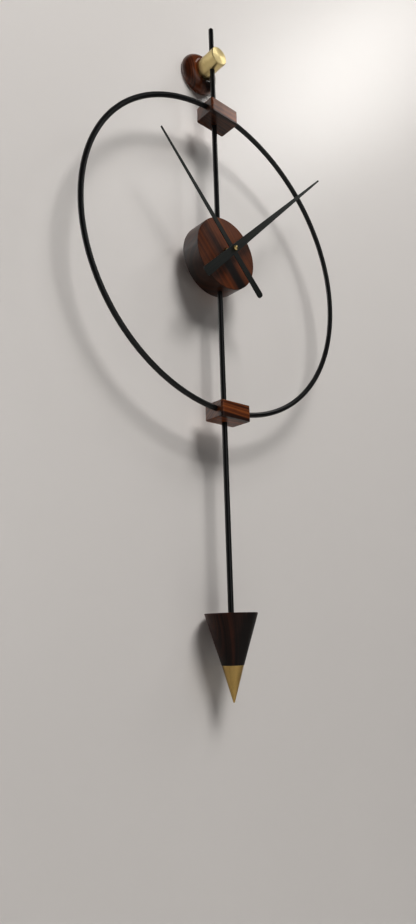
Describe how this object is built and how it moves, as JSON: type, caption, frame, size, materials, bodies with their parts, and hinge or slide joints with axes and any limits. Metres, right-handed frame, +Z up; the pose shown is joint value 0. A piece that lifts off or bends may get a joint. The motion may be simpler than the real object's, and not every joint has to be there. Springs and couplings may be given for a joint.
{
  "type": "pendulum wall clock",
  "caption": "Open-face wall clock: black ring and rod frame, dark wood hub with long straight hands, wood blocks, brass peg on a turned rosette, wood and brass cone bob.",
  "frame": {"origin": "centre of the rosette's back face, on the wall, where the wall stud leaves it", "axes": "+Z up along the rod, +Y into the wall, +X to the viewer's right when facing the clock"},
  "size_m": [0.4064, 0.098, 0.8536],
  "materials": {
    "rosette_wood": "polished dark lacquer",
    "walnut": "semi-gloss lacquer, dark brown",
    "cone_wood": "near-black lacquer, semi-gloss",
    "black_enamel": "semi-gloss black paint on steel",
    "satin_brass": "satin, brushed",
    "bright_brass": "machined",
    "hand_metal": "charcoal, finely brushed",
    "screw_steel": "black oxide",
    "zinc_steel": "zinc plated",
    "case_plastic": "fine moulded texture",
    "gear_plastic": "moulded acetal",
    "knob_plastic": "moulded",
    "magnet": "sintered",
    "washer_rubber": "matt",
    "board": "solder mask",
    "chip_epoxy": "epoxy drop",
    "crystal_can": "bright",
    "copper_wire": "enamelled copper winding",
    "core_steel": "stamped",
    "contact_plate": "nickel plated",
    "battery_can": "plain grey sleeve, no print"
  },
  "bodies": {
    "frame": {"wall_rosette": "rosette_wood", "hub_body": "walnut", "top_block": "walnut", "bottom_block": "walnut", "cone_body": "cone_wood", "upper_rod": "black_enamel", "lower_rod": "black_enamel", "ring_half_left": "black_enamel", "ring_half_right": "black_enamel", "brass_peg": "satin_brass", "cone_tip": "satin_brass", "bushing": "bright_brass", "bushing_nut": "bright_brass", "peg_set_screw": "screw_steel", "block_set_screws": "screw_steel", "hub_set_screws": "screw_steel", "wall_stud": "zinc_steel", "movement_case": "case_plastic", "movement_cover": "case_plastic", "middle_plate": "gear_plastic", "rubber_washer": "washer_rubber", "circuit_board": "board", "driver_chip": "chip_epoxy", "quartz_crystal": "crystal_can", "coil": "copper_wire", "coil_core": "core_steel", "stator": "core_steel", "contact_positive": "contact_plate", "contact_negative": "contact_plate", "battery": "battery_can"},
    "minute": {"minute_arbor": "bright_brass", "centre_wheel": "bright_brass", "minute_hand": "hand_metal", "cap_nut": "bright_brass"},
    "hour": {"hour_wheel": "gear_plastic", "hour_hand": "hand_metal"},
    "motion": {"motion_wheel": "gear_plastic"},
    "knob": {"set_knob": "knob_plastic"},
    "third": {"third_wheel": "gear_plastic"},
    "seconds": {"seconds_wheel": "gear_plastic"},
    "fifth": {"fifth_wheel": "gear_plastic"},
    "rotor_body": {"rotor": "magnet"}
  },
  "joints": [
    {"name": "minute_turn", "type": "hinge", "parent": "frame", "child": "minute", "pos_m": [0, -0.0365, -0.2847], "axis": [0, 1, 0], "continuous": true},
    {"name": "hour_turn", "type": "hinge", "parent": "frame", "child": "hour", "pos_m": [0, -0.0365, -0.2847], "axis": [0, 1, 0], "continuous": true},
    {"name": "motion_turn", "type": "hinge", "parent": "frame", "child": "motion", "pos_m": [0.00771, -0.0365, -0.27551], "axis": [0, 1, 0], "continuous": true},
    {"name": "knob_turn", "type": "hinge", "parent": "frame", "child": "knob", "pos_m": [0.01899, -0.0365, -0.27961], "axis": [0, 1, 0], "continuous": true},
    {"name": "third_turn", "type": "hinge", "parent": "frame", "child": "third", "pos_m": [-0.00846, -0.0365, -0.28162], "axis": [0, 1, 0], "continuous": true},
    {"name": "seconds_turn", "type": "hinge", "parent": "frame", "child": "seconds", "pos_m": [0, -0.0365, -0.2847], "axis": [0, 1, 0], "continuous": true},
    {"name": "fifth_turn", "type": "hinge", "parent": "frame", "child": "fifth", "pos_m": [0.00438, -0.0365, -0.27712], "axis": [0, 1, 0], "continuous": true},
    {"name": "rotor_turn", "type": "hinge", "parent": "frame", "child": "rotor_body", "pos_m": [0.00542, -0.0365, -0.27121], "axis": [0, 1, 0], "continuous": true}
  ],
  "couplings": [
    {"joint": "hour_turn", "follows": "minute_turn", "ratio": 0.083333},
    {"joint": "motion_turn", "follows": "minute_turn", "ratio": -0.33333},
    {"joint": "knob_turn", "follows": "minute_turn", "ratio": 1},
    {"joint": "third_turn", "follows": "minute_turn", "ratio": -7.5},
    {"joint": "seconds_turn", "follows": "minute_turn", "ratio": 60},
    {"joint": "fifth_turn", "follows": "minute_turn", "ratio": -360},
    {"joint": "rotor_turn", "follows": "minute_turn", "ratio": 1800}
  ]
}
